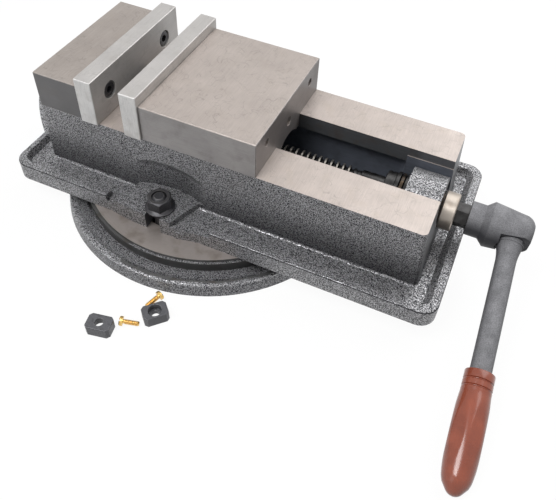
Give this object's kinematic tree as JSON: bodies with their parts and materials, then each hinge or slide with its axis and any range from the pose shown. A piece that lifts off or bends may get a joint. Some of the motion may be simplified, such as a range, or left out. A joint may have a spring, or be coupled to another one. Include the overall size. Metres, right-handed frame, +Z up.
{
  "type": "swivel machine vise",
  "caption": "Machine vise with a pull-down movable jaw driven by a cranked screw, turning on a round slotted base that bolts to a machine table.",
  "frame": {"origin": "where the swivel axis meets the table, in the plane of the base's underside", "axes": "+Z up along the swivel axis, +X along the screw towards the crank"},
  "size_m": [0.4592, 0.3143, 0.1251],
  "materials": {
    "painted_iron": "hammertone paint",
    "ground_steel": "ground",
    "plate_steel": "ground, hardened",
    "blackened_steel": "black oxide",
    "screw_steel": "machined",
    "bearing_steel": "polished",
    "bronze": "machined",
    "brass_plate": "bright",
    "crank_paint": "matt grey",
    "grip_plastic": "glossy brown"
  },
  "bodies": {
    "base": {"swivel_base": "painted_iron", "pivot_pin": "screw_steel", "table_keys": "blackened_steel", "key_screws": "brass_plate"},
    "vise": {"vise_body": "painted_iron", "fixed_jaw": "ground_steel", "fixed_jaw_key": "ground_steel", "fixed_jaw_bolts": "blackened_steel", "fixed_jaw_plate": "plate_steel", "fixed_plate_screws": "blackened_steel", "t_bolts": "blackened_steel", "screw_bush": "bronze", "thrust_race_fixed": "bearing_steel"},
    "screw": {"lead_screw": "screw_steel", "thrust_race_turning": "bearing_steel", "retaining_collar": "bearing_steel", "collar_set_screw": "blackened_steel"},
    "bearing_cage": {"thrust_cage": "bronze", "bearing_balls": "bearing_steel"},
    "jaw": {"movable_jaw": "ground_steel", "movable_jaw_plate": "plate_steel", "movable_plate_screws": "blackened_steel", "angle_lock_nut": "screw_steel", "half_ball": "bearing_steel", "lock_set_screw": "blackened_steel"},
    "crank": {"crank_hub": "crank_paint", "crank_rod": "crank_paint", "crank_grip": "grip_plastic", "crank_pin": "screw_steel"},
    "front_nut": {"front_clamp_nut": "blackened_steel"},
    "back_nut": {"back_clamp_nut": "blackened_steel"}
  },
  "joints": [
    {"name": "body_swivel", "type": "hinge", "parent": "base", "child": "vise", "pos_m": [0, 0, 0.0205], "axis": [0, 0, 1], "continuous": true},
    {"name": "crank_turn", "type": "hinge", "parent": "vise", "child": "screw", "pos_m": [0.16, 0, 0.0569], "axis": [1, 0, 0], "range_deg": [-1720.8, 5760]},
    {"name": "jaw_slide", "type": "slide", "parent": "vise", "child": "jaw", "axis": [1, 0, 0], "range_m": [-0.02395, 0.0801]},
    {"name": "cage_turn", "type": "hinge", "parent": "vise", "child": "bearing_cage", "pos_m": [0.164, 0, 0.0569], "axis": [1, 0, 0], "range_deg": [-861, 2881]},
    {"name": "crank_pull", "type": "slide", "parent": "screw", "child": "crank", "axis": [1, 0, 0], "range_m": [0, 0.035]},
    {"name": "front_nut_turn", "type": "hinge", "parent": "vise", "child": "front_nut", "pos_m": [-0.0076, -0.07622, 0.0355], "axis": [0, 0, 1], "range_deg": [0, 180]},
    {"name": "back_nut_turn", "type": "hinge", "parent": "vise", "child": "back_nut", "pos_m": [-0.0076, 0.07622, 0.0355], "axis": [0, 0, 1], "range_deg": [0, 180]}
  ],
  "couplings": [
    {"joint": "jaw_slide", "follows": "crank_turn", "m_per_rad": 0.00079577},
    {"joint": "cage_turn", "follows": "crank_turn", "ratio": 0.5}
  ]
}
